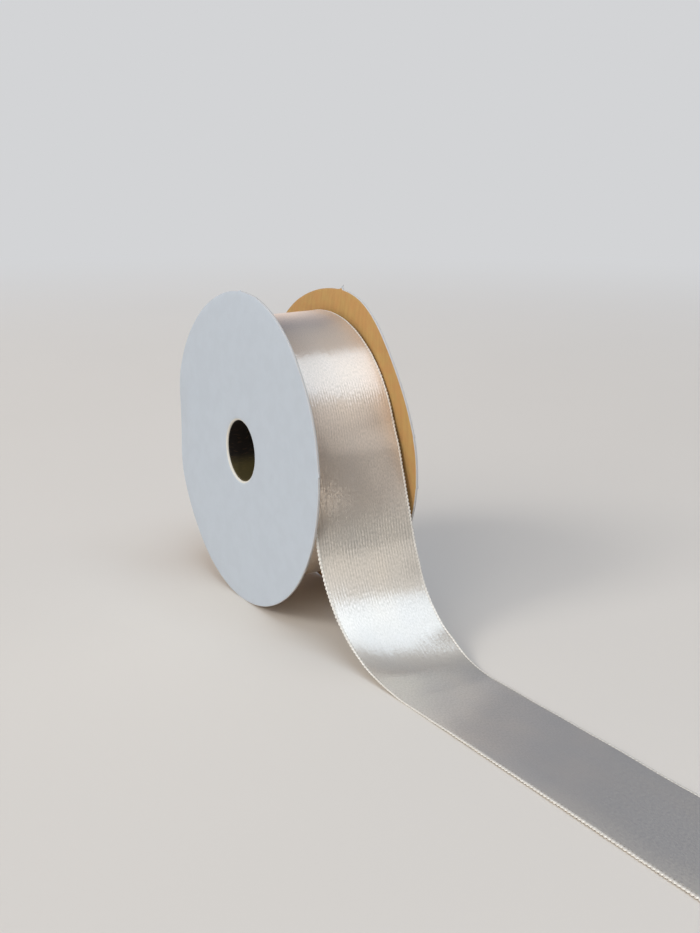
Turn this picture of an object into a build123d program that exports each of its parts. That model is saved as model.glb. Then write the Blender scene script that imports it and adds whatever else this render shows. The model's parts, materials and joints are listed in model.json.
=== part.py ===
from build123d import *
import math
import os

# Ribbon spool: two paperboard flanges glued to the ends of a paper core, a roll of satin
# ribbon wound between them, and the ribbon's free end, which hangs off the roll and lies
# on the surface that the spool stands on.
#
# Millimetres, +Z up. The origin is the centre of the bore, +Y runs along the spool's
# axis from the front flange to the rear one, and the free end runs towards +X.

# Ribbon: one-inch satin on a ten-yard roll
ribbon_width = 25.0
ribbon_thickness = 0.33
roll_radius = 35.8            # outside of the last turn
layer_gap = 0.04              # air between two turns of the winding
groove_count = 2              # rings of uneven turns that show on each end of the roll
groove_depth = 0.3

# Flanges: kraft board with a white ply laminated to its outer side
flange_radius = 42.0
board_thickness = 0.42
face_thickness = 0.18
side_clearance = 0.85         # between a ribbon edge and the flange beside it

# Core: a paper tube that carries the arbor, with the flanges' holes punched to its bore
bore_radius = 7.95            # five-eighths arbor hole
core_wall = 1.5
glue_gap = 0.05
tape_thickness = 0.1          # starter tape that holds the ribbon's inner end
tape_width = 18.0
tape_angle = 70.0

# Nibs left on the rims where the dies were nicked: (angle from +X towards +Z, height)
front_nibs = ((90.0, 0.4), (78.0, 0.3), (3.0, 0.45))
rear_nibs = ((81.0, 0.9), (12.0, 0.3), (-6.0, 0.6))
nib_width = 0.7

# Free end of the ribbon
leaving_angle = 18.0          # where it leaves the roll, above the horizontal
wrap_angle = 12.0             # arc of the roll that its first stretch still follows
running_gap = 0.3             # between the turning roll and the free end
floor_bend_radius = 36.0      # hanging stretch to lying stretch
free_end_reach = 175.0        # from the spool's axis to the cut end

# Worked out from the sizes above
flange_thickness = board_thickness + face_thickness
inner_face = ribbon_width / 2 + side_clearance
outer_face = inner_face + flange_thickness
core_radius = bore_radius + core_wall
tape_radius = core_radius + glue_gap + tape_thickness
winding_radius = tape_radius + glue_gap
layer_pitch = ribbon_thickness + layer_gap
nib_root = 0.3                # depth that a nib is rooted in the rim
AXIS_PLANE = Plane.XZ         # its local x, y are the model's X, Z and its normal is -Y


def polar(radius, degrees):
    """A point of the AXIS_PLANE at a radius and an angle from +X towards +Z."""
    angle = math.radians(degrees)
    return Vector(radius * math.cos(angle), radius * math.sin(angle))


def across(sketch, width):
    """Extrude a profile drawn in the AXIS_PLANE by width, centred on the spool's middle."""
    return extrude(AXIS_PLANE * sketch, amount=width / 2, both=True)


def ring(outer, inner, width):
    return across(Circle(outer) - Circle(inner), width)


def flange_face():
    """White ply of the front flange, rolled down round the punched hole by the die."""
    lip = Vector(bore_radius + flange_thickness, -inner_face)
    seam = -inner_face - board_thickness
    outline = [
        Line((flange_radius, -outer_face), (lip.X, -outer_face)),
        CenterArc(lip, flange_thickness, -90, -90),
        Polyline((bore_radius, lip.Y), (bore_radius + face_thickness, lip.Y), (lip.X, seam),
                 (flange_radius, seam), (flange_radius, -outer_face)),
    ]
    return revolve(make_face(outline), Axis.Y)


def flange_board():
    """Kraft board of the front flange, its hole bevelled where the white ply rolls in."""
    seam = -inner_face - board_thickness
    outline = Polyline((bore_radius + face_thickness, -inner_face),
                       (bore_radius + flange_thickness, seam), (flange_radius, seam),
                       (flange_radius, -inner_face), close=True)
    return revolve(make_face(outline), Axis.Y)


def nibs(places, start, thickness):
    """Pointed nibs on the front flange's rim, in the ply between start and its thickness.

    start is the ply's inner side, measured from the spool's middle.
    """
    half = nib_width / 2
    root = flange_radius - nib_root
    pieces = []
    for angle, height in places:
        outline = Polyline((root, -half), (flange_radius, -half), (flange_radius + height, 0),
                           (flange_radius, half), (root, half), close=True)
        profile = Rot(0, 0, angle) * make_face(outline)
        pieces.append(extrude(AXIS_PLANE.offset(start) * profile, amount=thickness))
    return pieces


def flange(nib_places):
    """The front flange's two plies, which share their nibs: the face and the board."""
    face = flange_face() + nibs(nib_places, inner_face + board_thickness, face_thickness)
    board = flange_board() + nibs(nib_places, inner_face, board_thickness)
    return face, board


def winding_spiral(start_radius):
    """One turn of the winding as four tangent arcs, from the leaving angle over the top.

    The arcs' centres stand on a square of a quarter of the pitch, so the radius falls
    by one layer_pitch in the turn.
    """
    step = layer_pitch / 4
    centre = polar(-step / 2, leaving_angle + 90) + polar(-step / 2, leaving_angle + 180)
    radius = start_radius - step / 2
    arcs = []
    for quarter in range(4):
        start = leaving_angle + 90 * quarter
        arcs.append(CenterArc(centre, radius, start, 90))
        centre += polar(step, start + 90)
        radius -= step
    return arcs


def wound_turns():
    """All the turns under the last one, with rings of uneven turns on both ends."""
    outline = winding_spiral(roll_radius - layer_pitch)
    step = Line(outline[-1] @ 1, outline[0] @ 0)
    turns = across(make_face(outline + [step]) - Circle(winding_radius), ribbon_width)
    ring_pitch = (roll_radius - 2 * layer_pitch - winding_radius) / groove_count
    half_width = ring_pitch / 4
    edge = ribbon_width / 2
    for index in range(groove_count):
        middle = winding_radius + ring_pitch * (index + 0.5)
        for side in (-1, 1):
            groove = Polyline((middle - half_width, side * edge),
                              (middle, side * (edge - groove_depth)),
                              (middle + half_width, side * edge), close=True)
            turns -= revolve(make_face(groove), Axis.Y)
    return turns


def last_turn():
    """The outermost turn, one ribbon thick, which ends over its own beginning."""
    outside = winding_spiral(roll_radius)
    inside = winding_spiral(roll_radius - ribbon_thickness)
    ends = [Line(outside[0] @ 0, inside[0] @ 0), Line(outside[-1] @ 1, inside[-1] @ 1)]
    return across(make_face(outside + inside + ends), ribbon_width)


def free_end():
    """The ribbon from the roll to its cut end, along the middle of its thickness."""
    radius = roll_radius + running_gap + ribbon_thickness / 2
    lying = ribbon_thickness / 2 - flange_radius
    leaving = polar(radius, leaving_angle)
    downwards = polar(1, leaving_angle - 90)
    corner = leaving + downwards * ((lying - leaving.Y) / downwards.Y)
    wrap = CenterArc((0, 0), radius, leaving_angle + wrap_angle, -wrap_angle)
    run = FilletPolyline(leaving, corner, (free_end_reach, lying), radius=floor_bend_radius)
    path = AXIS_PLANE * Wire([wrap.edge()] + run.edges().sort_by(Axis.X))
    section = Plane(origin=path @ 0, x_dir=(0, 1, 0), z_dir=path % 0)
    return sweep(section * Rectangle(ribbon_width, ribbon_thickness), path)


def starter_tape():
    """Band of tape on one side of the core, under the first turn."""
    strip = ring(tape_radius, core_radius + glue_gap, tape_width)
    reach = 2 * tape_radius
    wedge = make_face(Polyline((0, 0), polar(reach, -tape_angle / 2),
                               polar(reach, tape_angle / 2), close=True))
    return strip & across(wedge, tape_width)


front_face, front_board = flange(front_nibs)
rear_face, rear_board = [mirror(ply, about=Plane.XZ) for ply in flange(rear_nibs)]

nodes = {
    "front_flange_face": front_face,
    "front_flange_board": front_board,
    "rear_flange_face": rear_face,
    "rear_flange_board": rear_board,
    "core_tube": ring(core_radius, bore_radius, 2 * inner_face),
    "starter_tape": starter_tape(),
    "ribbon_wound_turns": wound_turns(),
    "ribbon_last_turn": last_turn(),
    "ribbon_free_end": free_end(),
}

os.makedirs("parts", exist_ok=True)
for name, shape in nodes.items():
    export_step(shape, f"parts/{name}.step")
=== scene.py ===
"""Ribbon spool: a paperboard spool of satin ribbon with its free end drawn out.

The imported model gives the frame. Each operator builds one piece, or one group of like
pieces, over its solids, and the last one sets the floor, the lights and the camera.
"""

import json
import math
from functools import cache

import bmesh
import bpy
import numpy as np
from mathutils import Matrix, Vector


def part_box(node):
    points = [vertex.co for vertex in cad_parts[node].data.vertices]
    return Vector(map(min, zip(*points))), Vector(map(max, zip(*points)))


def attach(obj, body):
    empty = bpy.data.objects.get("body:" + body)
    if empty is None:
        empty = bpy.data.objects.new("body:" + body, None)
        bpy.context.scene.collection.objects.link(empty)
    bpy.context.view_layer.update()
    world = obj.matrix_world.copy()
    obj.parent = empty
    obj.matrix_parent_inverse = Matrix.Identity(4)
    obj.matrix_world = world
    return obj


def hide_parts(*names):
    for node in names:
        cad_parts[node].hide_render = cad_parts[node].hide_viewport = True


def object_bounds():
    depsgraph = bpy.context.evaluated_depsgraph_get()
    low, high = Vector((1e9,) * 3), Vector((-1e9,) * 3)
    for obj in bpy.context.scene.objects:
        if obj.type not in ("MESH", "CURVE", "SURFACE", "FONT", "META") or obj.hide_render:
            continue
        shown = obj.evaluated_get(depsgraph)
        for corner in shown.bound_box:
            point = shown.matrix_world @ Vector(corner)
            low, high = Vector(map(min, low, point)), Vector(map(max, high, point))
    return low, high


bl_info = {
    "name": "Ribbon Spool",
    "version": (1, 0, 0),
    "blender": (4, 5, 0),
    "location": "3D View > Sidebar > Ribbon Spool",
    "description": "Builds a paperboard spool of satin ribbon around its packed solids",
    "category": "Object",
}

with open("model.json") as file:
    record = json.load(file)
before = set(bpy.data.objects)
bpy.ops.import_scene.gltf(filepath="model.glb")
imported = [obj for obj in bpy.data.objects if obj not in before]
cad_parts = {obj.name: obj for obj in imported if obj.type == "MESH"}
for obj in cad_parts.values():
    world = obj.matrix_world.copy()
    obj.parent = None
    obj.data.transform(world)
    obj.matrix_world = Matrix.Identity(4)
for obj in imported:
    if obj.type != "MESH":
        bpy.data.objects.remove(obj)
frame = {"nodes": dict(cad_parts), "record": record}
cad_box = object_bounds()

MM = 0.001
CENTIMETRE = 0.01
FLOOR = cad_box[0][2]
RIM_RADIUS = -FLOOR


def mount(name):
    """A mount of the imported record, by its name."""
    return next(m for m in frame["record"]["mounts"] if m["name"] == name)


BORE_RADIUS = mount("core_bore")["dims"]["r_mm"] * MM
OUTER_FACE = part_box("rear_flange_face")[1][1]
SEAM_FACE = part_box("rear_flange_board")[1][1]
INNER_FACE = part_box("rear_flange_board")[0][1]
CORE_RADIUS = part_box("core_tube")[1][0]
HALF_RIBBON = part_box("ribbon_last_turn")[1][1]
TAIL_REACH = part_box("ribbon_free_end")[1][0]

# The winding, as the solids have it
ROLL_RADIUS = 35.8 * MM
LAYER_PITCH = 0.37 * MM
WINDING_RADIUS = CORE_RADIUS + 0.2 * MM
LEAVING_ANGLE = math.radians(18)
FLOOR_BEND_RADIUS = 36.0 * MM


def paint(red, green, blue):
    """A colour written in display values from 0 to 255, as the linear one that shaders use."""
    shares = (red / 255, green / 255, blue / 255)
    return tuple(
        c / 12.92 if c <= 0.04045 else ((c + 0.055) / 1.055) ** 2.4 for c in shares
    )


# ---------------------------------------------------------------- sizes and colours


def length(name, description, default):
    return bpy.props.FloatProperty(
        name=name, description=description, default=default, min=0.0, max=1.0,
        precision=5, unit="LENGTH",
    )


def colour(name, description, default):
    return bpy.props.FloatVectorProperty(
        name=name, description=description, default=default, size=3, min=0.0, max=1.0,
        subtype="COLOR",
    )


class SpoolSizes(bpy.types.PropertyGroup):
    """Sizes of the flanges and the core."""

    lip_depth: length(
        "Lip depth", "Depth of the white ply's fold into the punched hole", 0.58 * MM)
    lip_width: length(
        "Lip width", "How far out the fold into the punched hole begins", 1.1 * MM)
    rim_softening: length(
        "Rim softening", "Radius of the crushed corner of a flange's rim", 0.14 * MM)
    mouth_play: length(
        "Mouth play", "How much wider the flange's hole is than the core's bore", 0.3 * MM)
    mouth_drop: length(
        "Mouth drop", "How far the flange's hole hangs off the core's bore", 0.2 * MM)
    board_bend: length(
        "Board bend", "How far the boards' rims bend out of true", 1.5 * MM)
    rim_knock: length(
        "Rim knock", "How far the front flange's knocked rim leans inwards", 1.1 * MM)
    rear_crush: length(
        "Rear crush", "How far the top of the rear flange is crushed down", 0.62 * MM)
    nib_width: length(
        "Nib width", "Width of a nib that the cutting die left on a rim", 2.0 * MM)
    core_step: length(
        "Core step", "Height of the step along the core's spiral seam", 0.12 * MM)


class RibbonSizes(bpy.types.PropertyGroup):
    """Sizes of the satin ribbon."""

    thickness: length(
        "Thickness", "Thickness of the satin between its selvedges", 0.33 * MM)
    selvedge: length(
        "Selvedge", "Width of the corded edge of the ribbon", 0.46 * MM)
    picot_pitch: length(
        "Picot pitch", "Distance from one weft loop to the next along an edge", 0.95 * MM)
    picot_height: length(
        "Picot height", "How far a weft loop stands out of the edge", 0.30 * MM)
    top_sag: length(
        "Top sag", "How far the roll's top sags beside the front flange", 0.8 * MM)
    step: length(
        "Step", "Length of one row of the ribbon's mesh", 0.125 * MM)
    near_twist: length(
        "Near edge fall", "How far the near edge hangs back towards the roll", 3.2 * MM)
    far_twist: length(
        "Far edge swell", "How far the far edge stands off the straight line", 0.75 * MM)
    edge_lift: length(
        "Edge lift", "How far the lying ribbon's near edge stands off the floor", 0.45 * MM)
    turn_wander: length(
        "Turn wander", "How unevenly the turns' edges end beside the flanges", 0.14 * MM)


class SpoolColours(bpy.types.PropertyGroup):
    """Colours of the materials and of the studio."""

    white_card: colour("White card", "Outer ply of the flanges", paint(182, 189, 196))
    kraft: colour("Kraft board", "Inner side of the flanges", paint(181, 138, 84))
    kraft_dark: colour("Kraft fibre", "Darker fibres in the board", paint(160, 119, 72))
    kraft_cool: colour("Kraft patches", "Greener patches in the board", paint(179, 145, 87))
    rim: colour("Rim", "Burnished cut edge of the board", paint(190, 187, 183))
    # The fold is paler partly as the folded paper and partly as a painted highlight on the rolled
    # lip
    fold: colour("Fold", "White ply folded into the punched hole", paint(214, 209, 197))
    # The core's brown is darkened to near black as painted shade in the bore, and the next colour
    # is painted light on the bore's lower side
    core_brown_painted_shade: colour("Core brown", "Wound paper of the core", paint(27, 19, 13))
    core_painted_light: colour("Core painted light", "Paler inner ply past its lap", paint(72, 63, 33))
    core_seam: colour("Core seam", "Shaded seam and glue of the core", paint(18, 13, 9))
    tape: colour("Tape", "Starter tape on the core", paint(206, 196, 170))
    satin: colour("Satin", "Lit warp floats of the satin", paint(250, 234, 217))
    satin_shade: colour("Satin shade", "Between the warp floats", paint(232, 217, 199))
    groove: colour("Groove", "Shade between the cord's loops", paint(196, 187, 174))
    selvedge: colour("Selvedge", "Corded edge of the ribbon", paint(228, 221, 209))
    floor: colour("Floor", "Studio floor", paint(216, 208, 197))
    backdrop: colour("Backdrop", "What the floor fades into", paint(211, 212, 214))


PANEL_GROUPS = {
    "spool_sizes": SpoolSizes,
    "ribbon_sizes": RibbonSizes,
    "spool_colours": SpoolColours,
}


# ---------------------------------------------------------------- small mathematics


def ease(value):
    """From 0 to 1 and level at both ends, for a value or an array."""
    t = np.clip(value, 0.0, 1.0)
    return t * t * (3 - 2 * t)


def bump(value, centre, reach):
    """A rounded hump of height 1 at centre that ends reach away on both sides."""
    t = np.clip(np.abs(value - centre) / reach, 0.0, 1.0)
    return np.cos(t * math.pi / 2) ** 2


def ripple(value, *waves):
    """A sum of sines; each wave is (wavelength, phase, share)."""
    return sum(
        share * np.sin(2 * math.pi * value / wavelength + phase)
        for wavelength, phase, share in waves
    )


def signed_apart(angle, degrees):
    """How far an angle lies past one given in degrees, in radians, the short way round."""
    return (angle - math.radians(degrees) + math.pi) % (2 * math.pi) - math.pi


def bulge(angle, degrees, reach):
    """A hump round an angle given in degrees, which ends reach degrees away."""
    return bump(signed_apart(angle, degrees), 0.0, math.radians(reach))


def heading(angle):
    """Unit vectors in the XZ plane at each angle from +X towards +Z."""
    return np.stack([np.cos(angle), np.sin(angle)], axis=-1)


# ---------------------------------------------------------------- mesh helpers


def points_round(radius, depth, angle):
    """Points at a radius and an angle round the spool's axis, depth along it."""
    return np.stack([radius * np.cos(angle), depth, radius * np.sin(angle)], axis=-1)


def tube_mesh(name, rings, closed):
    """A mesh from rings of points (ring, point, xyz); closed joins the last to the first."""
    count, around, _ = rings.shape
    index = np.arange(count * around).reshape(count, around)
    following = np.roll(index, -1, axis=0)
    rows = count if closed else count - 1
    here = index[:rows]
    there = following[:rows]
    quads = np.stack(
        [here, there, np.roll(there, -1, axis=1), np.roll(here, -1, axis=1)], axis=-1
    ).reshape(-1, 4)
    faces = quads.tolist()
    if not closed:
        faces.append(index[0].tolist())
        faces.append(index[-1][::-1].tolist())
    mesh = bpy.data.meshes.new(name)
    mesh.from_pydata(rings.reshape(-1, 3).tolist(), [], faces)
    mesh.validate()
    return mesh


def finish_mesh(mesh, crease_degrees):
    """Outward faces, and smooth ones apart from edges sharper than crease_degrees."""
    work = bmesh_of(mesh)
    bmesh.ops.recalc_face_normals(work, faces=work.faces)
    work.to_mesh(mesh)
    work.free()
    mesh.polygons.foreach_set("use_smooth", [True] * len(mesh.polygons))
    mesh.set_sharp_from_angle(angle=math.radians(crease_degrees))
    mesh.update()
    return mesh


def add_piece(mesh, body, slot, material, *nodes):
    """The mesh as a piece that rides on body and stands for nodes."""
    piece = bpy.data.objects.new(mesh.name, mesh)
    bpy.context.scene.collection.objects.link(piece)
    mesh.materials.append(material)
    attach(piece, body)
    if nodes:
        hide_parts(*nodes)
    return piece


def finish_node(name, material):
    """Gives a solid that stays in view its material."""
    node = frame["nodes"][name]
    node.data.materials.clear()
    node.data.materials.append(material)


def add_place_map(mesh, name, across, along):
    """A map with each point's two places on a flat sheet or a disc, in centimetres."""
    layer = mesh.uv_layers.new(name=name)
    corners = np.zeros(len(mesh.loops), dtype=np.int32)
    mesh.loops.foreach_get("vertex_index", corners)
    places = np.stack([across[corners], along[corners]], axis=-1) / CENTIMETRE
    layer.uv.foreach_set("vector", places.astype(np.float32).ravel())


def bmesh_of(mesh):
    work = bmesh.new()
    work.from_mesh(mesh)
    return work


# ---------------------------------------------------------------- shader helpers

FLOAT, VECTOR = "NodeSocketFloat", "NodeSocketVector"


class Nodes:
    """Adds and links the nodes of one tree."""

    def __init__(self, tree):
        self.tree = tree

    def add(self, kind, **settings):
        node = self.tree.nodes.new(kind)
        for name, value in settings.items():
            setattr(node, name, value)
        return node

    def feed(self, node, **inputs):
        """Links or sets a node's inputs, named as their sockets with _ for a space."""
        for name, value in inputs.items():
            self.plug(node.inputs[name.replace("_", " ")], value)

    def plug(self, socket, value):
        if isinstance(value, bpy.types.NodeSocket):
            self.tree.links.new(value, socket)
        elif isinstance(value, tuple) and len(value) == 3 and socket.type == "RGBA":
            socket.default_value = (*value, 1.0)
        else:
            socket.default_value = value

    def math(self, operation, first, second=0.0, clamp=False):
        node = self.add("ShaderNodeMath", operation=operation, use_clamp=clamp)
        self.plug(node.inputs[0], first)
        self.plug(node.inputs[1], second)
        return node.outputs["Value"]

    def plus(self, base, value, share):
        """base with share of value added to it."""
        return self.math("ADD", base, self.math("MULTIPLY", value, share))

    def axes(self, vector):
        """A vector's X, Y and Z."""
        node = self.add("ShaderNodeSeparateXYZ")
        self.plug(node.inputs[0], vector)
        return node.outputs

    def vector(self, operation, first, second=None, scale=None):
        node = self.add("ShaderNodeVectorMath", operation=operation)
        self.plug(node.inputs[0], first)
        if second is not None:
            self.plug(node.inputs[1], second)
        if scale is not None:
            self.plug(node.inputs["Scale"], scale)
        return node.outputs["Vector"]

    def mix(self, share, first, second, blend="MIX"):
        node = self.add("ShaderNodeMix", data_type="RGBA", blend_type=blend)
        self.plug(node.inputs[0], share)
        self.plug(node.inputs[6], first)
        self.plug(node.inputs[7], second)
        return node.outputs[2]

    def noise(self, vector, scale, detail=2.0, roughness=0.5):
        node = self.add("ShaderNodeTexNoise")
        self.feed(node, Vector=vector, Scale=scale, Detail=detail, Roughness=roughness)
        return node.outputs["Fac"]

    def stretch(self, vector, scale):
        node = self.add("ShaderNodeMapping")
        self.feed(node, Vector=vector, Scale=scale)
        return node.outputs["Vector"]

    def band(self, value, start, end):
        """0 before start and 1 after end, eased between them."""
        node = self.add("ShaderNodeMapRange", interpolation_type="SMOOTHSTEP")
        self.feed(node, Value=value, From_Min=start, From_Max=end)
        return node.outputs["Result"]


def new_group(name, inputs, outputs):
    """A shader node group; inputs are (name, type), and each output is a number."""
    group = bpy.data.node_groups.new(name, "ShaderNodeTree")
    for socket, kind in inputs:
        group.interface.new_socket(name=socket, in_out="INPUT", socket_type=kind)
    for socket in outputs:
        group.interface.new_socket(name=socket, in_out="OUTPUT", socket_type=FLOAT)
    nodes = Nodes(group)
    return nodes, nodes.add("NodeGroupInput").outputs, nodes.add("NodeGroupOutput")


def new_material(name):
    material = bpy.data.materials.new(name)
    material.use_nodes = True
    material.node_tree.nodes.clear()
    nodes = Nodes(material.node_tree)
    surface = nodes.add("ShaderNodeOutputMaterial")
    shader = nodes.add("ShaderNodeBsdfPrincipled")
    nodes.feed(surface, Surface=shader.outputs["BSDF"])
    return material, nodes, shader


def use_group(nodes, group, **inputs):
    node = nodes.add("ShaderNodeGroup", node_tree=group)
    nodes.feed(node, **inputs)
    return node.outputs


@cache
def pulp_group():
    """Paper pulp: soft mottling, long fibres, and the height of both."""
    nodes, given, out = new_group(
        "Paper pulp",
        [("Vector", VECTOR), ("Mottle Scale", FLOAT), ("Fibre Scale", FLOAT)],
        ["Mottle", "Fibres", "Height"],
    )
    mottle = nodes.noise(given["Vector"], given["Mottle Scale"], 5.0, 0.62)
    warp = nodes.add("ShaderNodeTexNoise")
    nodes.feed(warp, Vector=given["Vector"], Scale=given["Mottle Scale"], Detail=1.0)
    swirl = nodes.vector("SCALE", warp.outputs["Color"], scale=0.004)
    swirled = nodes.vector("ADD", swirl, given["Vector"])
    strands = 0.0
    for turn, width in ((0.5, 9.0), (-0.9, 7.0)):
        lay = nodes.add("ShaderNodeMapping")
        nodes.feed(
            lay, Vector=swirled, Rotation=(0.0, turn, 0.0), Scale=(1.0, 1.0, width))
        fibre = nodes.noise(lay.outputs["Vector"], given["Fibre Scale"], 1.5, 0.4)
        strands = nodes.math("MAXIMUM", strands, nodes.band(fibre, 0.62, 0.74))
    grain = nodes.noise(given["Vector"], 2600.0, 3.0, 0.6)
    height = nodes.plus(nodes.math("MULTIPLY", mottle, 0.6), strands, 0.25)
    nodes.feed(out, Mottle=mottle, Fibres=strands, Height=nodes.plus(height, grain, 0.35))
    return nodes.tree


@cache
def handled_edge_group():
    """Where a ply is handled and rubbed: a broken band up to a radius, and all past it."""
    nodes, given, out = new_group(
        "Handled edge",
        [("Vector", VECTOR), ("Distance", FLOAT), ("Radius", FLOAT), ("Width", FLOAT)],
        ["Mask"],
    )
    rough = nodes.noise(given["Vector"], 420.0, 4.0, 0.65)
    broken = nodes.math("MULTIPLY", given["Width"], nodes.math("MULTIPLY", rough, 2.0))
    start = nodes.math("SUBTRACT", given["Radius"], broken)
    past = nodes.math("SUBTRACT", given["Distance"], start)
    nodes.feed(out, Mask=nodes.math("DIVIDE", past, broken, clamp=True))
    return nodes.tree


COMB_PITCH = 0.072        # from one drawn thread to the next, in centimetres


@cache
def warp_lines_group():
    """Satin's lengthwise warp threads and the corded selvedges, from the weave map.

    Places and lengths are in centimetres. Tilt is how far a thread leans lengthwise, which
    moves the edge of a highlight on it.
    """
    nodes, given, out = new_group(
        "Warp lines",
        [("Vector", VECTOR), ("Half Width", FLOAT), ("Selvedge Width", FLOAT),
         ("Loop Pitch", FLOAT)],
        ["Floats", "Tone", "Tilt", "Comb", "Slack", "Eased", "Selvedge", "Groove", "Loops"],
    )

    def drawn_out(share, scale, detail=2.0, roughness=0.5):
        """Noise whose scale lengthwise is share of its scale across."""
        drawn = nodes.stretch(given["Vector"], (1.0, share, 1.0))
        return nodes.noise(drawn, scale, detail, roughness)

    def off_middle(noise):
        return nodes.math("SUBTRACT", noise, 0.5)

    place = nodes.axes(given["Vector"])
    across, run = place["X"], place["Y"]
    floats = drawn_out(0.42, 34.0, roughness=0.6)
    tone = drawn_out(0.5, 0.8)
    wander = drawn_out(0.5, 1.6)
    threads = drawn_out(0.05, 24.0, detail=1.0)
    # A comb of threads, even enough to read as lines and broken up along its length
    beat = nodes.math("MULTIPLY", nodes.plus(across, run, 0.04), 2 * math.pi / COMB_PITCH)
    phase = nodes.plus(beat, wander, 9.0)
    patches = nodes.band(drawn_out(0.8, 2.2), 0.30, 0.55)
    # The comb shows where the ribbon starts to turn away from each bend
    upper = nodes.math("MULTIPLY", nodes.band(run, -1.4, -1.0), nodes.band(run, 0.5, 0.0))
    lower = nodes.math("MULTIPLY", nodes.band(run, 1.8, 2.6), nodes.band(run, 4.6, 4.1))
    pulled = nodes.math("MAXIMUM", nodes.math("MAXIMUM", upper, lower), 0.12)
    patches = nodes.math("MULTIPLY", patches, pulled)
    comb = nodes.math("MULTIPLY", nodes.math("SINE", phase), patches)
    tilt = nodes.plus(nodes.math("MULTIPLY", comb, 0.22), off_middle(floats), 0.95)
    tilt = nodes.plus(tilt, off_middle(threads), 0.3)
    # The selvedge has cords in loops, and a groove beside it that shows between them, painted
    # darker as painted shade
    inside = nodes.math("SUBTRACT", given["Half Width"], given["Selvedge Width"])
    past = nodes.math("SUBTRACT", nodes.math("ABSOLUTE", across), inside)
    loop = nodes.math("MULTIPLY", nodes.math("DIVIDE", run, given["Loop Pitch"]), math.pi)
    loops = nodes.math("ABSOLUTE", nodes.math("COSINE", loop))
    between = nodes.math("MULTIPLY", nodes.band(loops, 0.75, 0.30), nodes.band(wander, 0.25, 0.55))
    beside = nodes.band(nodes.math("ABSOLUTE", past), 0.022, 0.006)
    # The two masks along the run mark where the satin gets painted shade, from the lower hanging
    # ribbon on and over the lying ribbon; the hanging one also makes it rougher
    nodes.feed(
        out, Floats=floats, Tone=tone, Tilt=nodes.plus(tilt, off_middle(tone), 0.4), Comb=comb,
        Slack=nodes.band(run, 3.2, 5.0), Eased=nodes.band(run, 1.4, 2.8),
        Selvedge=nodes.band(past, -0.004, 0.004), Loops=loops,
        Groove=nodes.math("MULTIPLY", beside, between),
    )
    return nodes.tree


def leaning_normal(nodes, tangent, lean):
    """The surface's normal leaned along the ribbon by lean, for a tangent across it."""
    facing = nodes.add("ShaderNodeNewGeometry").outputs["Normal"]
    lengthwise = nodes.vector("CROSS_PRODUCT", facing, tangent)
    leant = nodes.vector("ADD", facing, nodes.vector("SCALE", lengthwise, scale=lean))
    return nodes.vector("NORMALIZE", leant)


def bump_of(nodes, height, distance, strength):
    node = nodes.add("ShaderNodeBump")
    nodes.feed(node, Height=height, Distance=distance, Strength=strength)
    return node.outputs["Normal"]


def object_place(nodes):
    return nodes.add("ShaderNodeTexCoord").outputs["Object"]


def swatch(name):
    """One of the panel's colours."""
    return tuple(getattr(bpy.context.scene.spool_colours, name))


def card_material(name, base, fibre, shade, rim_width, roughness):
    """Paperboard ply: pulp mottling, streaks, faint fibres, pale rim, and a folded mouth painted
    paler, partly the fold's own paper and partly a painted highlight.
    """
    material, nodes, shader = new_material(name)
    sizes = bpy.context.scene.spool_sizes
    place = object_place(nodes)
    pulp = use_group(nodes, pulp_group(), Vector=place, Mottle_Scale=240.0, Fibre_Scale=900.0)
    turned = nodes.axes(nodes.add("ShaderNodeUVMap", uv_map="turned").outputs["UV"])
    distance = nodes.math("MULTIPLY", turned["X"], CENTIMETRE)
    worn = use_group(
        nodes, handled_edge_group(), Vector=place, Distance=distance,
        Radius=RIM_RADIUS - 0.4 * rim_width, Width=rim_width,
    )
    # The ring round the hole is painted paler: partly the folded paper, partly a painted highlight
    # on the lip
    fold_and_highlight = use_group(
        nodes, handled_edge_group(), Vector=place, Distance=distance,
        Radius=BORE_RADIUS + sizes.mouth_play + 0.55 * sizes.lip_width,
        Width=0.3 * sizes.lip_width,
    )
    mottled = nodes.mix(nodes.band(pulp["Mottle"], 0.36, 0.64), shade, base)
    run = nodes.noise(nodes.stretch(place, (1.0, 1.0, 0.07)), 900.0, 2.0, 0.6)
    streaks = nodes.math("MULTIPLY", nodes.band(run, 0.4, 0.65), 0.3)
    body = nodes.mix(streaks, mottled, fibre)
    flecked = nodes.mix(nodes.math("MULTIPLY", pulp["Fibres"], 0.25), body, fibre)
    rubbed = nodes.mix(worn["Mask"], flecked, swatch("rim"))
    nodes.feed(
        shader, Base_Color=nodes.mix(fold_and_highlight["Mask"], swatch("fold"), rubbed),
        Roughness=nodes.plus(roughness, pulp["Mottle"], 0.16),
        Normal=bump_of(nodes, pulp["Height"], 0.04 * MM, 0.4), Specular_IOR_Level=0.3,
    )
    return material


def toned(base, share):
    """A colour made darker or lighter by share."""
    return tuple(min(1.0, share * c) for c in base)


@cache
def white_card():
    base = swatch("white_card")
    return card_material(
        "White card", base, toned(base, 0.98), toned(base, 0.96),
        rim_width=0.1 * MM, roughness=0.55,
    )


@cache
def kraft_board():
    return card_material(
        "Kraft board", swatch("kraft"), swatch("kraft_dark"), swatch("kraft_cool"),
        rim_width=0.14 * MM, roughness=0.68,
    )


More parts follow.
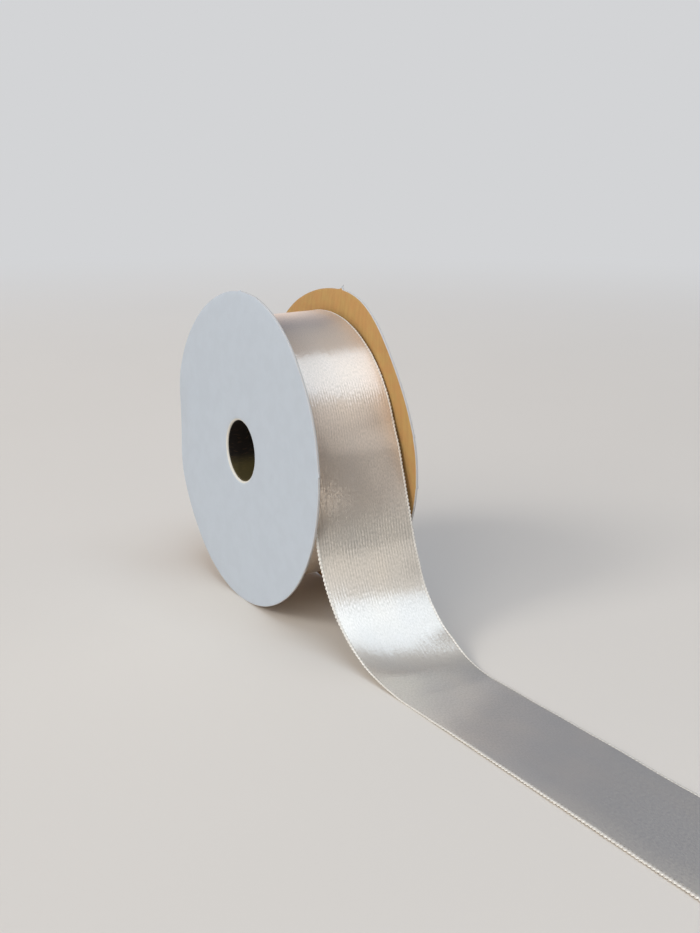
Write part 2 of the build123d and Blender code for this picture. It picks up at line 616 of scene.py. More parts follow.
@cache
def core_paper():
    """Wound brown paper, mottled with glue, darkened to near black as painted shade in the bore,
    and paler towards the bottom of the bore as painted light.
    """
    material, nodes, shader = new_material("Core paper")
    place = object_place(nodes)
    pulp = use_group(nodes, pulp_group(), Vector=place, Mottle_Scale=160.0, Fibre_Scale=420.0)
    # Painted light: paler below the axis, towards the bottom of the bore where light falls in
    lap = nodes.band(nodes.axes(place)["Z"], -2.4 * MM, -6.2 * MM)
    wound = nodes.mix(pulp["Mottle"], swatch("core_seam"), swatch("core_brown_painted_shade"))
    painted_lit_below = nodes.mix(lap, wound, swatch("core_painted_light"))
    fibres = nodes.math("MULTIPLY", pulp["Fibres"], 0.08)
    nodes.feed(
        shader, Base_Color=nodes.mix(fibres, painted_lit_below, swatch("kraft")),
        Roughness=nodes.plus(0.6, pulp["Mottle"], 0.2),
        Normal=bump_of(nodes, pulp["Height"], 0.08 * MM, 0.7), Specular_IOR_Level=0.3,
    )
    return material


@cache
def starter_tape():
    """Translucent tape with trapped air along its edges."""
    material, nodes, shader = new_material("Starter tape")
    place = object_place(nodes)
    air = nodes.band(nodes.noise(place, 700.0, 3.0, 0.6), 0.55, 0.7)
    base = swatch("tape")
    nodes.feed(
        shader, Base_Color=nodes.mix(air, base, toned(base, 1.2)),
        Roughness=nodes.plus(0.18, air, 0.3),
        Normal=bump_of(nodes, nodes.noise(place, 300.0), 0.05 * MM, 0.4),
    )
    return material


# What the satin's colour is multiplied by, in places; the last two are painted shade, cooled as a
# painted reflection, down the hanging ribbon's bend and where it lies on the floor
COOL_CLOUD = (0.96, 0.975, 1.0)
BETWEEN_THREADS = (0.925, 0.925, 0.925)
THREAD = (1.0, 1.0, 1.0)
BENDING_SHADE = (0.90, 0.945, 0.965)
LYING_SHADE = (0.81, 0.88, 0.935)


@cache
def satin():
    """Warp-faced satin: floats that shine in a band across them, and a matt selvedge. The hanging
    and lying free end carries painted shade, cooled as a painted reflection, and painted shade
    lies between the cord's loops.
    """
    material, nodes, shader = new_material("Satin")
    sizes = bpy.context.scene.ribbon_sizes
    weave = nodes.add("ShaderNodeUVMap", uv_map="weave").outputs["UV"]
    warp = use_group(
        nodes, warp_lines_group(), Vector=weave, Half_Width=HALF_RIBBON / CENTIMETRE,
        Selvedge_Width=sizes.selvedge / CENTIMETRE, Loop_Pitch=sizes.picot_pitch / CENTIMETRE,
    )
    fine = nodes.band(warp["Floats"], 0.3, 0.7)
    floats = nodes.mix(fine, swatch("satin_shade"), swatch("satin"))
    cool = nodes.mix(1.0, floats, COOL_CLOUD, "MULTIPLY")
    clouded = nodes.mix(nodes.band(warp["Tone"], 0.3, 0.7), cool, floats)
    combed = nodes.mix(nodes.band(warp["Comb"], -1.0, 1.0), BETWEEN_THREADS, THREAD)
    # Painted shade, cooled as a painted reflection: darker from the lower hanging ribbon into its
    # bend, and darker still where it lies on the floor
    bend_painted_shade = nodes.mix(1.0, combed, BENDING_SHADE, "MULTIPLY")
    hanging = nodes.mix(warp["Eased"], combed, bend_painted_shade)
    tint = nodes.mix(warp["Slack"], hanging, LYING_SHADE)
    field = nodes.mix(1.0, clouded, tint, "MULTIPLY")
    corded = nodes.mix(nodes.band(warp["Loops"], -0.4, 0.7), field, swatch("selvedge"))
    edged = nodes.mix(warp["Selvedge"], field, corded)
    rough = nodes.plus(0.24, warp["Floats"], 0.14)
    rough = nodes.plus(rough, warp["Selvedge"], 0.16)
    lustre = nodes.plus(0.60, fine, 0.20)
    lustre = nodes.plus(lustre, warp["Comb"], 0.06)
    tangent = nodes.add("ShaderNodeTangent", direction_type="UV_MAP", uv_map="weave")
    tangent = tangent.outputs["Tangent"]
    lean = nodes.math("MULTIPLY", warp["Tilt"], 0.25)
    nodes.feed(
        shader, Base_Color=nodes.mix(warp["Groove"], edged, swatch("groove")),
        Roughness=nodes.plus(rough, warp["Eased"], 0.07),
        Metallic=nodes.plus(lustre, warp["Selvedge"], -0.40), Specular_IOR_Level=0.6,
        Anisotropic=1.0, Tangent=tangent, Normal=leaning_normal(nodes, tangent, lean),
    )
    return material


@cache
def turn_edges():
    """The ends of the wound turns: cut floats and selvedge loops seen side on."""
    material, nodes, shader = new_material("Wound turn edges")
    place = object_place(nodes)
    loops = nodes.noise(place, 1500.0, 2.0, 0.6)
    soft = nodes.noise(place, 160.0, 3.0, 0.5)
    lit = nodes.band(nodes.plus(loops, soft, 0.3), 0.5, 0.8)
    nodes.feed(
        shader, Base_Color=nodes.mix(lit, swatch("satin_shade"), swatch("selvedge")),
        Roughness=nodes.plus(0.55, soft, 0.2), Sheen_Weight=0.2,
        Normal=bump_of(nodes, loops, 0.08 * MM, 0.7),
    )
    return material


@cache
def studio_floor():
    """Pale matt floor with a faint tooth, which fades into the backdrop far from the spool."""
    material, nodes, shader = new_material("Studio floor")
    place = object_place(nodes)
    tooth = nodes.noise(place, 900.0, 3.0, 0.55)
    cloud = nodes.noise(place, 6.0)
    base = swatch("floor")
    nodes.feed(
        shader, Base_Color=nodes.mix(cloud, toned(base, 0.96), base),
        Roughness=nodes.plus(0.6, tooth, 0.1),
        Normal=bump_of(nodes, tooth, 0.03 * MM, 0.3), Specular_IOR_Level=0.15,
    )
    far = nodes.add("ShaderNodeVectorMath", operation="LENGTH")
    nodes.plug(far.inputs[0], place)
    rays = nodes.add("ShaderNodeLightPath")
    faded = nodes.band(far.outputs["Value"], 0.2, 1.3)
    glow = nodes.add("ShaderNodeEmission")
    nodes.feed(glow, Color=swatch("backdrop"))
    blend = nodes.add("ShaderNodeMixShader")
    nodes.feed(blend, Fac=nodes.math("MULTIPLY", faded, rays.outputs["Is Camera Ray"]))
    nodes.plug(blend.inputs[1], shader.outputs["BSDF"])
    nodes.plug(blend.inputs[2], glow.outputs["Emission"])
    nodes.feed(nodes.tree.nodes["Material Output"], Surface=blend.outputs["Shader"])
    return material


# ---------------------------------------------------------------- flanges

FRONT, REAR = -1, 1
# Nibs on the rims: (angle from +X towards +Z in degrees, height in millimetres)
NIBS = {
    FRONT: ((90.0, 0.4), (78.0, 0.3), (3.0, 0.45)),
    REAR: ((84.0, 1.25), (12.0, 0.35), (-6.0, 0.4)),
}
# Slow bends of the boards towards +Y: (angle, reach in degrees, share of the board bend)
BENDS = {
    FRONT: ((90.0, 60.0, 0.7), (215.0, 40.0, 0.17)),
    REAR: ((103.0, 116.0, 1.0), (40.0, 36.0, -1.0), (-12.0, 33.0, 0.6), (215.0, 60.0, 0.2)),
}
# More such places, as (angle, reach in degrees): a knock in the front flange's rim, the
# crushed top of the rear flange, and the sag of the roll's top
KNOCK = (179.0, 24.0)
CRUSH = (101.0, 30.0)
SAG = (105.0, 70.0)
RIM_STEPS = 480
RIM_BAND = 0.5 * MM       # width of the rim that nibs and ragged fibres move
RAGGED_FIBRES = 0.03 * MM
MOUTH_REACH = 4 * MM      # how far out a flange's hole is bent where it hangs on the core


def rim_angles(side):
    """Even steps round the rim, with finer ones where a nib stands."""
    even = np.arange(RIM_STEPS) * (2 * math.pi / RIM_STEPS)
    fine = [even]
    for degrees, _ in NIBS[side]:
        fine.append(math.radians(degrees) + np.linspace(-0.5, 0.5, 11) * MM / RIM_RADIUS)
    return np.unique(np.round(np.concatenate(fine) % (2 * math.pi), 6))


def nib_height(side, angles, width):
    """How far the nibs, each steeper on one side, carry the rim out at each angle."""
    total = np.zeros_like(angles)
    for degrees, height in NIBS[side]:
        past = signed_apart(angles, degrees)
        slope = np.where(past > 0, 0.75 * width, 0.25 * width)
        total += height * MM * np.clip(1 - np.abs(past) * RIM_RADIUS / slope, 0, 1)
    return total


def board_warp(side, radius, angle, sizes):
    """How far a flange's board stands out of its plane at a place, towards +Y."""
    reach = (radius / RIM_RADIUS) ** 6
    bends = sum(share * bulge(angle, degrees, wide) for degrees, wide, share in BENDS[side])
    knock = 0.0
    if side == FRONT:
        knock = bulge(angle, *KNOCK) * ease((radius / RIM_RADIUS - 0.8) / 0.2)
    return sizes.board_bend * bends * reach + sizes.rim_knock * knock


def flange_mesh(name, side, profile, sizes):
    """A ply turned round the axis from its profile of (radius, depth, share of a nib).

    A depth is measured outwards from the flange's inner face.
    """
    angles = rim_angles(side)
    nibs = nib_height(side, angles, sizes.nib_width)
    ragged = ripple(angles, (0.41, 0.3, 0.5), (0.173, 1.0, 0.3), (0.067, 2.2, 0.2))
    crushed = sizes.rear_crush * bulge(angles, *CRUSH) if side == REAR else 0.0
    rings = np.zeros((len(angles), len(profile), 3))
    for column, (radius, depth, nib) in enumerate(profile):
        out = radius + nib * (nibs + RAGGED_FIBRES * ragged)
        out = out - crushed * (radius / RIM_RADIUS) ** 8
        away = side * (INNER_FACE + depth) + board_warp(side, radius, angles, sizes)
        hang = sizes.mouth_drop * (1 - ease((radius - BORE_RADIUS) / MOUTH_REACH))
        rings[:, column] = points_round(out, away, angles) - (hang, 0.0, hang)
    mesh = finish_mesh(tube_mesh(name, rings, closed=True), 50)
    radii = np.tile([radius for radius, _, _ in profile], len(angles))
    add_place_map(mesh, "turned", radii, np.repeat(angles, len(profile)))
    return mesh


def arc_profile(centre, radius, start, end, steps):
    """Points of an arc in (radius, depth), from one angle to another in degrees."""
    turns = np.radians(np.linspace(start, end, steps))
    return [
        (centre[0] + radius * math.cos(t), centre[1] + radius * math.sin(t)) for t in turns
    ]


def with_nibs(outline, share):
    """Points of (radius, depth), each with the share of a nib that it takes on the rim."""
    return [(r, d, share * float(r > RIM_RADIUS - RIM_BAND)) for r, d in outline]


# Rings of points over a flat ply, closer where it bends, in millimetres
PLATE_RADII = (11, 15, 20, 25, 30, 33.5, 35.5, 37, 38.5, 39.7, 40.7)


def face_profile(sizes):
    """White ply: rolled lip, flat face, crushed rim corner, and the side on the board."""
    thick = OUTER_FACE - INNER_FACE
    seam = SEAM_FACE - INNER_FACE
    lip = sizes.lip_depth
    soft = sizes.rim_softening
    mouth = BORE_RADIUS + sizes.mouth_play
    rolled = [
        (mouth + sizes.lip_width * (r / lip - 1), d)
        for r, d in arc_profile((2 * lip, thick - lip), lip, 180, 90, 11)
    ]
    corner = arc_profile((RIM_RADIUS - soft, thick - soft), soft, 90, 10, 5)
    outside = [(mouth, 0.0), *rolled]
    outside += [(r * MM, thick) for r in PLATE_RADII] + corner + [(RIM_RADIUS, seam)]
    inside = [(r * MM, seam) for r in reversed(PLATE_RADII)]
    inside += [(mouth + lip, seam), (mouth + thick - seam, 0.0)]
    return with_nibs(outside + inside, 1.0)


def board_profile(sizes):
    """Kraft board: flat inner side, softened rim, and the bevel under the rolled lip."""
    seam = SEAM_FACE - INNER_FACE
    soft = sizes.rim_softening
    bevel = OUTER_FACE - SEAM_FACE
    corner = arc_profile((RIM_RADIUS - soft, soft), soft, -10, -90, 5)
    outside = [(r * MM, seam) for r in PLATE_RADII] + [(RIM_RADIUS, seam), *corner]
    inside = [(r * MM, 0.0) for r in reversed(PLATE_RADII)]
    mouth = BORE_RADIUS + sizes.mouth_play
    inside += [(mouth + bevel, 0.0), (mouth + sizes.lip_depth, seam)]
    return with_nibs(outside + inside, 0.35)


class SPOOL_OT_flanges(bpy.types.Operator):
    """Build the two plies of both flanges"""

    bl_idname = "ribbon_spool.flanges"
    bl_label = "Flanges"

    def execute(self, context):
        sizes = context.scene.spool_sizes
        for side, word in ((FRONT, "front"), (REAR, "rear")):
            face = flange_mesh(f"{word}_card_face", side, face_profile(sizes), sizes)
            board = flange_mesh(f"{word}_card_board", side, board_profile(sizes), sizes)
            add_piece(face, "spool", "white_ply", white_card(), f"{word}_flange_face")
            add_piece(board, "spool", "kraft_board", kraft_board(), f"{word}_flange_board")
        return {"FINISHED"}


# ---------------------------------------------------------------- core and tape


class SPOOL_OT_core(bpy.types.Operator):
    """Build the paper core with its spiral seam, and finish its starter tape"""

    bl_idname = "ribbon_spool.core"
    bl_label = "Core"

    around = 120
    rows = 90
    seam_lead = 19 * MM       # how far the paper strip advances in one turn
    set_back = 0.02 * MM      # how far the paper stays behind the bore's own radius

    def execute(self, context):
        step = context.scene.spool_sizes.core_step
        depth = np.linspace(-INNER_FACE, INNER_FACE, self.rows)
        angles = np.arange(self.around) * (2 * math.pi / self.around)
        place, turn = np.meshgrid(depth, angles, indexing="ij")
        lap = (place / self.seam_lead + turn / (2 * math.pi)) % 1.0
        # The strip's edge is a sharp step, and the strip lies level between two steps
        inner = BORE_RADIUS + self.set_back
        inner = inner + step * ease(lap / 0.06) * (1 - ease((lap - 0.1) / 0.9))
        radii = np.concatenate([inner, np.full_like(inner, CORE_RADIUS)])
        places = np.concatenate([place, place[::-1]])
        rings = points_round(radii, places, np.concatenate([turn, turn]))
        mesh = finish_mesh(
            tube_mesh("core_paper_tube", np.swapaxes(rings, 0, 1), closed=True), 40)
        add_piece(mesh, "spool", "core_paper", core_paper(), "core_tube")
        finish_node("starter_tape", starter_tape())
        return {"FINISHED"}


# ---------------------------------------------------------------- ribbon


def roll_outside(turn):
    """Outer radius of the winding's last turn, turn radians past the leaving angle."""
    return ROLL_RADIUS - LAYER_PITCH * turn / (2 * math.pi)


def roll_sag(turn, across, sizes):
    """How far the outer turns sag round the top of the roll, most beside the front flange."""
    near_share = np.clip((1 - across / HALF_RIBBON) / 2, 0, 1)
    return sizes.top_sag * bulge(turn + LEAVING_ANGLE, *SAG) * near_share


def picots(along, sizes, phase):
    """Weft loops along an edge: how far each place stands out, uneven from loop to loop."""
    loop = np.abs(np.cos(math.pi * along / sizes.picot_pitch + phase))
    uneven = 0.8 + 0.2 * ripple(along, (7.1 * MM, phase, 0.6), (4.37 * MM, 0.4, 0.4))
    return sizes.picot_height * loop ** 1.3 * uneven


CORD_SWELL = 0.16         # share by which each loop thickens the corded edge


def ribbon_section(sizes):
    """The ribbon's outline as (across, height, share of picot, share of cord)."""
    half = sizes.thickness / 2
    edge = HALF_RIBBON
    groove = edge - sizes.selvedge
    top = [
        (edge, 0.0, 1.0, 0.0),
        (edge - 0.05 * MM, 0.75 * half, 0.7, 1.0),
        (edge - 0.16 * MM, 1.14 * half, 0.2, 1.0),
        (edge - 0.34 * MM, 1.12 * half, 0.0, 0.5),
        (groove + 0.09 * MM, 0.90 * half, 0.0, 0.0),
        (groove, 0.80 * half, 0.0, 0.0),
        (groove - 0.10 * MM, 0.92 * half, 0.0, 0.0),
        (groove - 0.30 * MM, half, 0.0, 0.0),
        (7.5 * MM, half, 0.0, 0.0),
        (3.8 * MM, half, 0.0, 0.0),
    ]
    bottom = [
        (3.8 * MM, -half, 0.0, 0.0),
        (7.5 * MM, -half, 0.0, 0.0),
        (groove - 0.3 * MM, -half, 0.0, 0.0),
        (groove, -0.75 * half, 0.0, 0.0),
        (edge - 0.3 * MM, -half, 0.0, 0.5),
        (edge - 0.06 * MM, -0.7 * half, 0.7, 1.0),
    ]
    mirror = np.array([-1.0, 1.0, 1.0, 1.0])
    top = np.array(top)
    bottom = np.array(bottom)
    middle_top = [(0.0, half, 0.0, 0.0)]
    middle_bottom = [(0.0, -half, 0.0, 0.0)]
    return np.concatenate(
        [top * mirror, middle_top, top[::-1], bottom[::-1], middle_bottom, bottom * mirror])


def ribbon_mesh(name, along, place, normal, offset, sizes):
    """A ribbon swept along its line.

    place and normal are (row, xz); offset gives how far each row's points stand off the
    line along the normal and across it, and their share of the full thickness, which the
    underside follows, for arrays of rows and places across.
    """
    section = ribbon_section(sizes)
    rows = along[:, None]
    side = np.sign(section[:, 0])[None, :]
    near = picots(rows, sizes, 0.0)
    far = picots(rows, sizes, 0.9)
    loops = np.where(side < 0, near, far) * section[None, :, 2]
    across = section[None, :, 0] + side * loops
    cord = CORD_SWELL * np.cos(2 * math.pi * rows / sizes.picot_pitch) * section[None, :, 3]
    height = section[None, :, 1] * (1 + cord)
    away, drift, fullness = offset(rows, across)
    half = sizes.thickness / 2
    height = np.where(height > 0, height, half - (half - height) * fullness)
    lift = height + away
    points = np.zeros((len(along), len(section), 3))
    points[..., 0] = place[:, None, 0] + normal[:, None, 0] * lift
    points[..., 1] = across + drift
    points[..., 2] = place[:, None, 1] + normal[:, None, 1] * lift
    mesh = finish_mesh(tube_mesh(name, points, closed=False), 60)
    flat = np.broadcast_to(section[None, :, 0], points.shape[:2]).ravel()
    add_place_map(mesh, "weave", flat, np.broadcast_to(rows, points.shape[:2]).ravel())
    return mesh


class SPOOL_OT_wound_turns(bpy.types.Operator):
    """Build the turns under the last one, with uneven edges at both ends of the roll"""

    bl_idname = "ribbon_spool.wound_turns"
    bl_label = "Wound turns"

    around = 150
    under_last = 0.03 * MM    # gap left under the last turn
    set_back = 0.1 * MM       # how far short of the last turn's edges the others end
    valley = 0.28 * MM        # depth of the groove between the edges of two turns

    def execute(self, context):
        sizes = context.scene.ribbon_sizes
        turn = np.linspace(0.0, 2 * math.pi, self.around)
        outside = roll_outside(turn) - LAYER_PITCH - self.under_last
        count = int((ROLL_RADIUS - WINDING_RADIUS) / LAYER_PITCH) - 2
        half_gap = (LAYER_PITCH - sizes.thickness) / 2
        columns = []
        for index in range(count):
            whole = index + turn / (2 * math.pi)
            wander = sizes.turn_wander * ripple(
                whole, (3.7, 0.2, 0.45), (1.31, 1.1, 0.35), (9.3, 2.0, 0.4))
            edge = HALF_RIBBON - self.set_back + wander
            for share, depth in ((0.0, self.valley), (0.2, 0.0), (0.8, 0.0)):
                columns.append((outside - LAYER_PITCH * (index + share) - half_gap, edge - depth))
        columns.append((np.full_like(turn, WINDING_RADIUS), columns[-1][1]))
        radii = np.stack([c[0] for c in columns], axis=1)
        edges = np.stack([c[1] for c in columns], axis=1)
        radii = np.concatenate([radii, radii[:, ::-1]], axis=1)
        depths = np.concatenate([edges, -edges[:, ::-1]], axis=1)
        angles = (turn + LEAVING_ANGLE)[:, None]
        loose = ease((radii - WINDING_RADIUS) / (ROLL_RADIUS - WINDING_RADIUS) * 2 - 1)
        radii = radii - loose * roll_sag(turn[:, None], depths, sizes)
        rings = points_round(radii, depths, angles)
        mesh = finish_mesh(tube_mesh("wound_ribbon_turns", rings, closed=False), 50)
        add_piece(mesh, "spool", "satin", turn_edges(), "ribbon_wound_turns")
        return {"FINISHED"}


class SPOOL_OT_last_turn(bpy.types.Operator):
    """Build the outermost turn of satin, from where the free end leaves it"""

    bl_idname = "ribbon_spool.last_turn"
    bl_label = "Last turn"

    def execute(self, context):
        sizes = context.scene.ribbon_sizes
        rows = round(2 * math.pi * ROLL_RADIUS / sizes.step)
        turn = np.linspace(0.0, 2 * math.pi, rows)
        radius = roll_outside(turn) - sizes.thickness / 2
        normal = heading(turn + LEAVING_ANGLE)
        along = -turn * ROLL_RADIUS

        def offset(rows, across):
            swell = 0.04 * MM * (ripple(
                -rows, (31 * MM, 0.4, 0.6), (17.3 * MM, 1.9, 0.4)) - 1)
            level = across / HALF_RIBBON
            settled = ease(-rows / (12 * MM))
            sag = roll_sag(-rows / ROLL_RADIUS, across, sizes)
            return swell * settled * (0.4 + 0.6 * level) - sag, 0.0, 1.0

        mesh = ribbon_mesh(
            "last_ribbon_turn", along, radius[:, None] * normal, normal, offset, sizes)
        piece = add_piece(mesh, "spool", "satin", satin(), "ribbon_last_turn")
        return {"FINISHED"}


class SPOOL_OT_free_end(bpy.types.Operator):
    """Build the free end of the ribbon, hanging off the roll and lying on the floor"""

    bl_idname = "ribbon_spool.free_end"
    bl_label = "Free end"

    tuck = 1 * MM             # thin stretch that slips into the last turn's own thickness
    thin = 0.075 * MM         # thickness left there, so that the turning roll clears it
    clear = 0.085 * MM        # how far under the ribbon's face the roll's outside may stand
    off_floor = 0.01 * MM     # gap left under the lying ribbon
    slant = 0.0135            # how far the lying ribbon drifts sideways for its reach
    slant_start = 34 * MM
    turn = math.pi / 2 - LEAVING_ANGLE
    bend = FLOOR_BEND_RADIUS * turn

    def route(self, thickness):
        """Where the ribbon leaves the roll, how long it hangs, and where it lands."""
        outward = heading(LEAVING_ANGLE)
        leaving = (ROLL_RADIUS - thickness / 2) * outward
        level = FLOOR + thickness / 2 + self.off_floor
        corner = (leaving[1] - level) / outward[0]
        tangent = FLOOR_BEND_RADIUS * math.tan(self.turn / 2)
        landing = np.array([leaving[0] + corner * outward[1] + tangent, level])
        return leaving, corner - tangent, landing

    def line(self, along, thickness):
        """Place and normal of the ribbon's middle at each length past the leaving line."""
        leaving, hanging, landing = self.route(thickness)
        radius = ROLL_RADIUS - thickness / 2
        bent = np.clip((along - hanging) / FLOOR_BEND_RADIUS, 0, self.turn)
        normal = heading(np.where(along < 0, LEAVING_ANGLE - along / radius,
                                  LEAVING_ANGLE + bent))
        down = np.array([math.sin(LEAVING_ANGLE), -math.cos(LEAVING_ANGLE)])
        centre = landing + np.array([0.0, FLOOR_BEND_RADIUS])
        past = along[:, None]
        place = np.select(
            [past < 0, past <= hanging, past <= hanging + self.bend],
            [radius * normal, leaving + past * down, centre - FLOOR_BEND_RADIUS * normal],
            landing + (past - hanging - self.bend) * np.array([1.0, 0.0]),
        )
        return place, normal

    def execute(self, context):
        sizes = context.scene.ribbon_sizes
        _, hanging, landing = self.route(sizes.thickness)
        total = hanging + self.bend + TAIL_REACH - landing[0]
        along = np.linspace(-self.tuck, total, round((total + self.tuck) / sizes.step))
        place, normal = self.line(along, sizes.thickness)

        # Places along the ribbon are in millimetres past the line where it leaves the roll
        def offset(rows, across):
            def hump(centre, reach):
                return bump(rows, centre * MM, reach * MM)

            def after(start, over):
                return ease((rows - start * MM) / (over * MM))

            def inside_near_edge(width):
                return ease((HALF_RIBBON + across) / (width * MM))

            level = across / HALF_RIBBON
            near_share = (1 - level) / 2
            far_share = (1 + level) / 2
            near = -sizes.near_twist * hump(26, 29)
            near = near - 2.3 * MM * hump(48, 24) - 0.6 * MM * hump(26, 14)
            far = sizes.far_twist * after(-1, 8) * (1 - after(30, 16))
            far = far + 0.3 * MM * (hump(35, 7) + hump(58, 6))
            hollow = -0.9 * MM * hump(61, 12) * np.clip(1 - level ** 2, 0, 1)
            lying = after(70, 18)
            lifted = sizes.edge_lift * lying * np.clip(near_share, 0, 1) ** 2.2
            lifted = lifted * (0.35 + 0.65 * after(82, 16)) * (0.35 + 0.65 * inside_near_edge(1.6))
            waves = 0.10 * MM * lying * (1 + ripple(
                rows + 9 * MM * level, (37 * MM, 0.3, 0.55), (21 * MM, 2.0, 0.45)))
            waves = waves * (0.25 + 0.75 * inside_near_edge(3))
            away = near * near_share + far * far_share + hollow + lifted + waves
            # The ribbon stays clear of the roll, and is thinner where the roll leaves no room
            off_roll = np.clip(rows, 0, None) ** 2 / (2 * ROLL_RADIUS)
            lowest = self.thin - self.clear - off_roll
            soft = 0.3 * MM * after(0, 12) * (1 - after(18, 12))
            away = (away + lowest + np.hypot(away - lowest, soft)) / 2
            room = (away + off_roll + self.clear) / sizes.thickness
            fullness = np.clip(room, self.thin / sizes.thickness, 1)
            dip = 0.008 * MM * (rows < 0)
            reach = np.interp(rows, along, place[:, 0])
            drift = self.slant * np.clip(reach - self.slant_start, 0, None)
            return away - dip, drift, fullness

        mesh = ribbon_mesh("ribbon_tail", along, place, normal, offset, sizes)
        piece = add_piece(mesh, "free_end", "satin", satin(), "ribbon_free_end")
        return {"FINISHED"}


# ---------------------------------------------------------------- stage


LIGHT_DISTANCE = 7.0


def softbox(name, direction, width, depth, level, tint=(1.0, 1.0, 1.0)):
    """A far softbox that faces the spool, with one pair of sides along the spool's axis.

    width and depth are angles in degrees, depth along the axis; level is what the light
    adds to a white surface that faces it.
    """
    lamp = bpy.data.lights.new(name, "AREA")
    lamp.shape = "RECTANGLE"
    lamp.size = 2 * LIGHT_DISTANCE * math.tan(math.radians(width) / 2)
    lamp.size_y = 2 * LIGHT_DISTANCE * math.tan(math.radians(depth) / 2)
    lamp.energy = level * (math.pi * LIGHT_DISTANCE) ** 2
    lamp.color = tint
    light = bpy.data.objects.new(name, lamp)
    back = Vector(direction).normalized()
    sideways = Vector((0, 1, 0)).cross(back).normalized()
    turn = Matrix((sideways, back.cross(sideways), back)).transposed().to_4x4()
    light.matrix_world = Matrix.Translation(LIGHT_DISTANCE * back) @ turn
    bpy.context.scene.collection.objects.link(light)


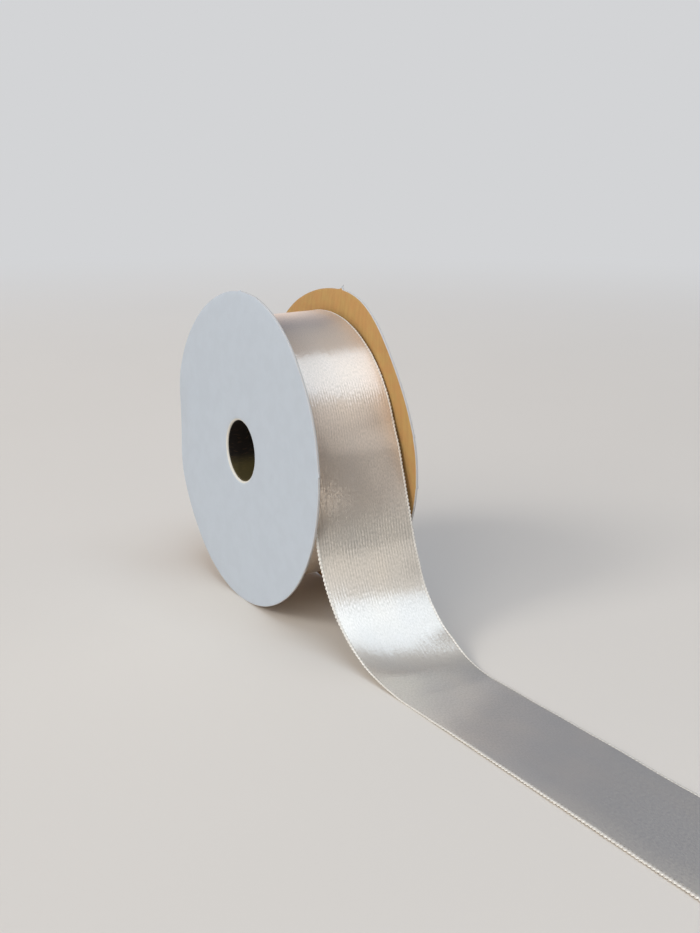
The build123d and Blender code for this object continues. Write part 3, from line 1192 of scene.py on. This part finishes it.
class SPOOL_OT_stage(bpy.types.Operator):
    """Set the floor, the softboxes, the world and the camera"""

    bl_idname = "ribbon_spool.stage"
    bl_label = "Stage"

    floor_radius = 8.0
    shaded = (0.015, 0.05, 0.15)
    behind = (0.92, 0.82, 0.80)
    horizon = (0.105, 0.096, 0.088)
    zenith = (0.50, 0.48, 0.47)
    sensor_width, lens = 36.0, 44.95
    camera_place = (0.27294, -0.14481, 0.07280)
    camera_yaw = math.radians(58.84)
    camera_fall = math.radians(14.36)
    camera_roll = math.radians(0.19)

    def execute(self, context):
        self.add_floor()
        self.add_lights(context)
        self.add_camera(context)
        context.scene.view_settings.view_transform = "Standard"
        return {"FINISHED"}

    def add_floor(self):
        """A wide round floor, finer towards the middle."""
        rings = []
        angles = np.arange(96) * (2 * math.pi / 96)
        for radius in np.geomspace(0.02, self.floor_radius, 24):
            rings.append(np.stack(
                [radius * np.cos(angles), radius * np.sin(angles), np.full_like(angles, FLOOR)],
                axis=-1))
        mesh = tube_mesh("studio_floor", np.array(rings), closed=False)
        work = bmesh_of(mesh)
        rim = [f for f in work.faces if len(f.verts) > 4 and f.calc_area() > 1]
        bmesh.ops.delete(work, geom=rim, context="FACES_ONLY")
        bmesh.ops.recalc_face_normals(work, faces=work.faces)
        work.to_mesh(mesh)
        work.free()
        floor = bpy.data.objects.new("studio_floor", mesh)
        mesh.materials.append(studio_floor())
        bpy.context.scene.collection.objects.link(floor)

    def add_lights(self, context):
        softbox("Overhead softbox", (0.36, 0.0, 0.91), 41, 40, 0.335, (0.80, 1.04, 1.34))
        softbox("Key softbox", (-0.06, -0.80, 0.60), 18, 18, 0.27)
        softbox("Fill softbox", (0.37, -0.80, 0.40), 46, 46, 0.55)
        softbox("Back softbox", (0.45, 0.80, 0.28), 30, 30, 0.085)
        world = bpy.data.worlds.new("Studio air")
        world.use_nodes = True
        nodes = Nodes(world.node_tree)
        air = world.node_tree.nodes["Background"]
        # Dark low down, most of all towards -X and +Y, with a pale wall straight towards -X
        facing = nodes.axes(nodes.add("ShaderNodeTexCoord").outputs["Generated"])
        sideways = nodes.band(nodes.math("SUBTRACT", facing["X"], facing["Y"]), -1.2, 0.6)
        height = nodes.band(nodes.plus(facing["Z"], sideways, 0.4), 0.52, 1.1)
        horizon = nodes.mix(sideways, self.shaded, self.horizon)
        wall = nodes.band(facing["X"], -0.60, -0.95)
        sky = nodes.mix(wall, nodes.mix(height, horizon, self.zenith), self.behind)
        rays = nodes.add("ShaderNodeLightPath")
        seen = nodes.mix(rays.outputs["Is Camera Ray"], sky, swatch("backdrop"))
        nodes.feed(air, Color=seen, Strength=1.0)
        context.scene.world = world

    def add_camera(self, context):
        lens_data = bpy.data.cameras.new("Studio camera")
        lens_data.sensor_width = self.sensor_width
        lens_data.lens = self.lens
        lens_data.clip_start = 0.01
        camera = bpy.data.objects.new("Studio camera", lens_data)
        yaw, fall = self.camera_yaw, self.camera_fall
        ahead = Vector((-math.sin(yaw) * math.cos(fall), math.cos(yaw) * math.cos(fall),
                        -math.sin(fall)))
        right = Vector((math.cos(yaw), math.sin(yaw), 0.0))
        up = right.cross(ahead)
        cosine, sine = math.cos(self.camera_roll), math.sin(self.camera_roll)
        tilted_right = cosine * right + sine * up
        tilted_up = cosine * up - sine * right
        turn = Matrix((tilted_right, tilted_up, -ahead)).transposed().to_4x4()
        camera.matrix_world = Matrix.Translation(self.camera_place) @ turn
        context.scene.collection.objects.link(camera)
        context.scene.camera = camera


# ---------------------------------------------------------------- panel and running

OPERATORS = (
    SPOOL_OT_flanges,
    SPOOL_OT_core,
    SPOOL_OT_wound_turns,
    SPOOL_OT_last_turn,
    SPOOL_OT_free_end,
    SPOOL_OT_stage,
)


class SPOOL_PT_panel(bpy.types.Panel):
    """Sizes, colours and building steps of the ribbon spool"""

    bl_idname = "SPOOL_PT_panel"
    bl_label = "Ribbon Spool"
    bl_space_type = "VIEW_3D"
    bl_region_type = "UI"
    bl_category = "Ribbon Spool"

    def draw(self, context):
        for group_name in PANEL_GROUPS:
            box = self.layout.box()
            group = getattr(context.scene, group_name)
            for name in group.__annotations__:
                box.prop(group, name)
        for operator in OPERATORS:
            self.layout.operator(operator.bl_idname)


CLASSES = (*PANEL_GROUPS.values(), *OPERATORS, SPOOL_PT_panel)


def register():
    for each in CLASSES:
        bpy.utils.register_class(each)
    for name, group in PANEL_GROUPS.items():
        setattr(bpy.types.Scene, name, bpy.props.PointerProperty(type=group))


def unregister():
    for name in PANEL_GROUPS:
        delattr(bpy.types.Scene, name)
    for each in reversed(CLASSES):
        bpy.utils.unregister_class(each)


def main():
    register()
    for operator in OPERATORS:
        group, _, name = operator.bl_idname.partition(".")
        getattr(getattr(bpy.ops, group), name)()


if __name__ == "__main__":
    main()
